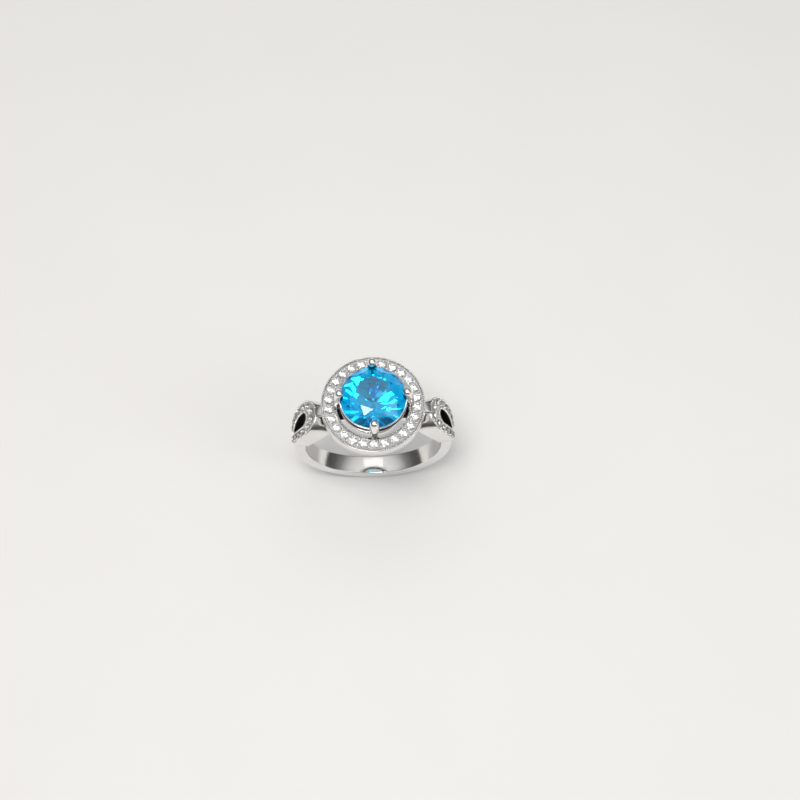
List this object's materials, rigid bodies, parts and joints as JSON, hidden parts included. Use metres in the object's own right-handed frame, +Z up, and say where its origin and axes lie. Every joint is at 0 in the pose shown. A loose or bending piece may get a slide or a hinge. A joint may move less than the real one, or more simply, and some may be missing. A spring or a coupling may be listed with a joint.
{
  "type": "cocktail ring",
  "caption": "Halo cocktail ring: a round stone in a four-prong basket over a stone-set halo, with open pear-shaped stone-set loops on its shoulders.",
  "frame": {"origin": "centre of the finger hole, halfway across the band", "axes": "+Y along the finger hole, +Z up through the head and the centre stone, +X to the right shoulder"},
  "size_m": [0.0198, 0.0122, 0.0232],
  "materials": {
    "ring_metal": "polished",
    "beads": "polished",
    "centre_stone": "gloss",
    "small_stones": "gloss"
  },
  "bodies": {
    "root": {"shank": "ring_metal", "left_shoulder_loop": "ring_metal", "right_shoulder_loop": "ring_metal", "left_arm": "ring_metal", "right_arm": "ring_metal", "left_neck": "ring_metal", "right_neck": "ring_metal", "halo_plate": "ring_metal", "halo_skirt": "ring_metal", "collet": "ring_metal", "base_rail": "ring_metal", "prong_east": "ring_metal", "prong_north": "ring_metal", "prong_west": "ring_metal", "prong_south": "ring_metal", "centre_stone": "centre_stone", "halo_stone_01": "small_stones", "halo_stone_02": "small_stones", "halo_stone_03": "small_stones", "halo_stone_04": "small_stones", "halo_stone_05": "small_stones", "halo_stone_06": "small_stones", "halo_stone_07": "small_stones", "halo_stone_08": "small_stones", "halo_stone_09": "small_stones", "halo_stone_10": "small_stones", "halo_stone_11": "small_stones", "halo_stone_12": "small_stones", "halo_stone_13": "small_stones", "halo_stone_14": "small_stones", "halo_stone_15": "small_stones", "halo_stone_16": "small_stones", "halo_stone_17": "small_stones", "halo_stone_18": "small_stones", "halo_stone_19": "small_stones", "halo_stone_20": "small_stones", "halo_stone_21": "small_stones", "halo_stone_22": "small_stones", "halo_stone_23": "small_stones", "halo_stone_24": "small_stones", "halo_stone_25": "small_stones", "halo_stone_26": "small_stones", "halo_outer_milgrain": "beads", "halo_inner_milgrain": "beads", "halo_grains": "beads", "left_loop_stones": "small_stones", "right_loop_stones": "small_stones", "left_loop_grains": "beads", "right_loop_grains": "beads", "left_loop_outer_milgrain": "beads", "right_loop_outer_milgrain": "beads", "left_loop_inner_milgrain": "beads", "right_loop_inner_milgrain": "beads"}
  },
  "joints": []
}
